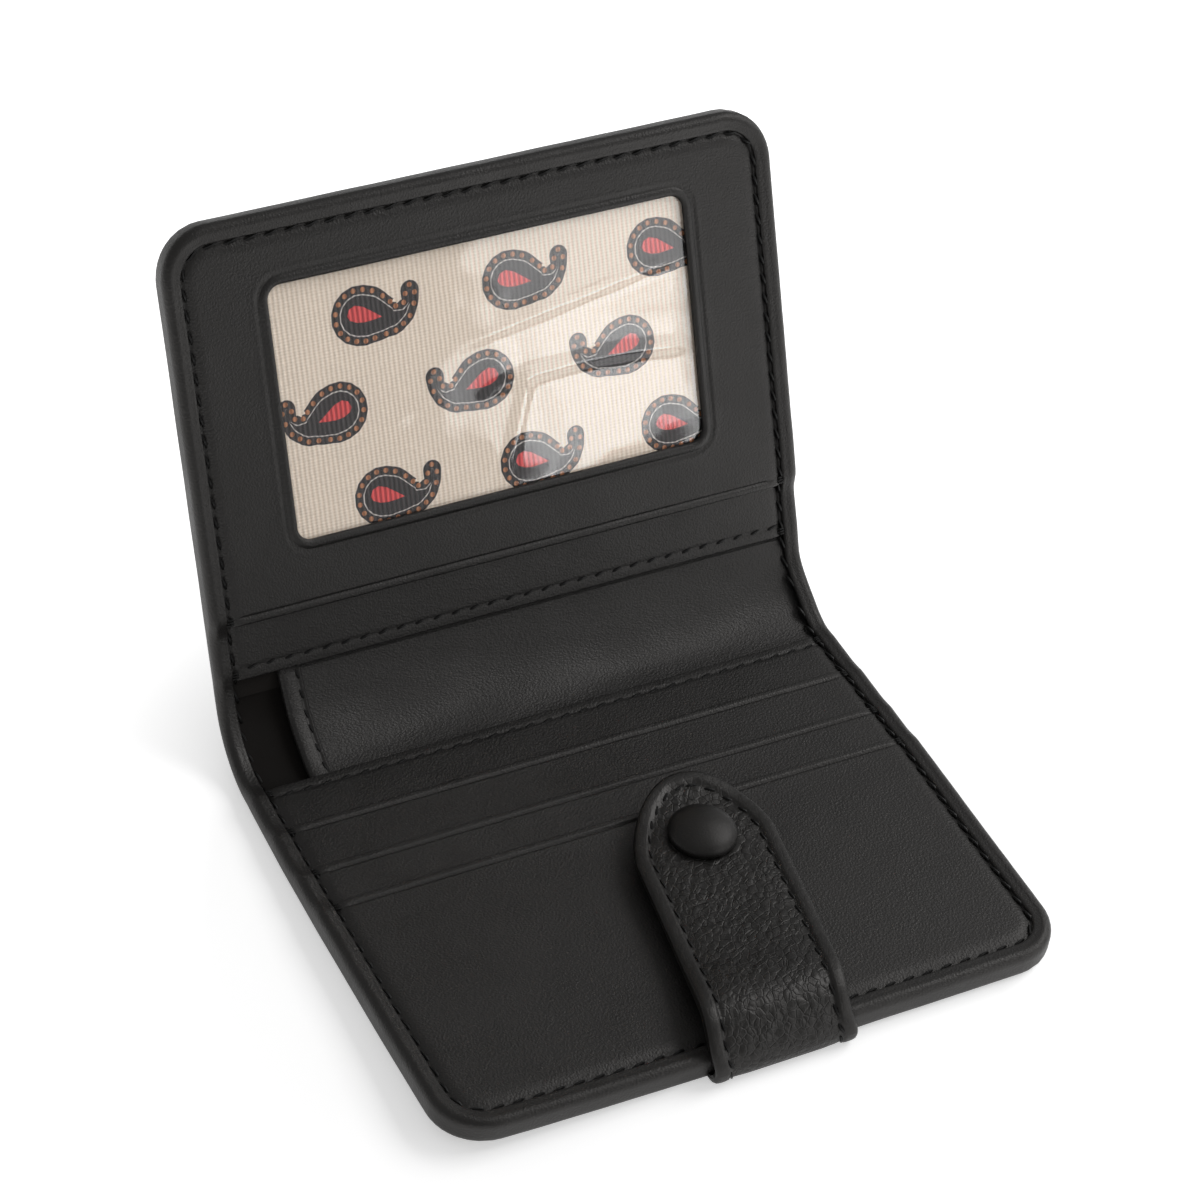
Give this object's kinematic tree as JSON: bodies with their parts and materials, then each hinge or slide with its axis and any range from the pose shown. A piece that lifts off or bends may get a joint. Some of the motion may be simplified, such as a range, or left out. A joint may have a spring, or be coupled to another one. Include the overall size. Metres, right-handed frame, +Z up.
{
  "type": "wallet",
  "caption": "Small leather bifold wallet standing open, with an identity window, stepped card pockets, a bill divider and a snap tab folded inwards.",
  "frame": {"origin": "bottom centre of the open wallet's bounding box", "axes": "+X along the spine to the picture's right, +Y back, away from the front edge, +Z up; the lower panel lies on z = 0"},
  "size_m": [0.112, 0.133, 0.0844],
  "materials": {
    "cover_leather": "pebbled black leather, satin",
    "edge_leather": "smooth black leather turned over the edge, slightly glossy",
    "pocket_leather": "fine grained black leather, soft satin",
    "grained_leather": "pebbled black leather with turned and sewn edges",
    "lining_leather": "plain black split leather",
    "smooth_leather": "smooth black leather stretched over a domed cap",
    "lining": "thin black lining cloth",
    "board": "fibre stiffening board, hidden",
    "printed_cloth": "beige ribbed cloth with small dark drop figures",
    "clear_film": "clear flexible plastic film, glossy and slightly wavy",
    "snap_metal": "darkened steel"
  },
  "bodies": {
    "lower": {"cover_lower": "cover_leather", "board_lower": "board", "lining_lower": "lining", "slip_pocket_lower": "pocket_leather", "card_slot_1": "pocket_leather", "card_slot_2": "pocket_leather", "card_slot_3": "pocket_leather", "edge_band_lower": "edge_leather", "tab_root": "grained_leather", "bill_divider": "pocket_leather"},
    "spine": {"cover_spine": "cover_leather", "lining_spine": "lining", "spine_edge_left": "edge_leather", "spine_edge_right": "edge_leather"},
    "upper": {"cover_upper": "cover_leather", "board_upper": "board", "lining_upper": "lining", "slip_pocket_upper": "pocket_leather", "window_cloth": "printed_cloth", "window_film": "clear_film", "id_frame": "pocket_leather", "edge_band_upper": "edge_leather", "snap_stud": "snap_metal"},
    "riser": {"tab_riser": "grained_leather"},
    "bridge": {"tab_bridge": "grained_leather"},
    "strap": {"tab_strap": "grained_leather", "tab_lining": "lining_leather", "snap_cap": "smooth_leather", "snap_socket": "snap_metal"}
  },
  "joints": [
    {"name": "spine_fold_lower", "type": "hinge", "parent": "lower", "child": "spine", "pos_m": [0, 0.01731, 0.00075], "axis": [1, 0, 0], "range_deg": [-32.25, 57.75], "deforming": ["bill_divider"]},
    {"name": "spine_fold_upper", "type": "hinge", "parent": "spine", "child": "upper", "pos_m": [0, 0.03094, 0.00935], "axis": [1, 0, 0], "range_deg": [-32.25, 57.75]},
    {"name": "tab_bend_root", "type": "hinge", "parent": "lower", "child": "riser", "pos_m": [0.002, -0.06559, 0.0009], "axis": [1, 0, 0], "range_deg": [0, 90]},
    {"name": "tab_bend_low", "type": "hinge", "parent": "riser", "child": "bridge", "pos_m": [0.002, -0.06559, 0.00775], "axis": [1, 0, 0], "range_deg": [0, 90]},
    {"name": "tab_bend_high", "type": "hinge", "parent": "bridge", "child": "strap", "pos_m": [0.00396, -0.05197, 0.00775], "axis": [1, 0, 0], "range_deg": [-90, 0]}
  ],
  "couplings": [
    {"joint": "spine_fold_upper", "follows": "spine_fold_lower", "ratio": 1},
    {"joint": "tab_bend_high", "follows": "tab_bend_low", "ratio": -1}
  ]
}
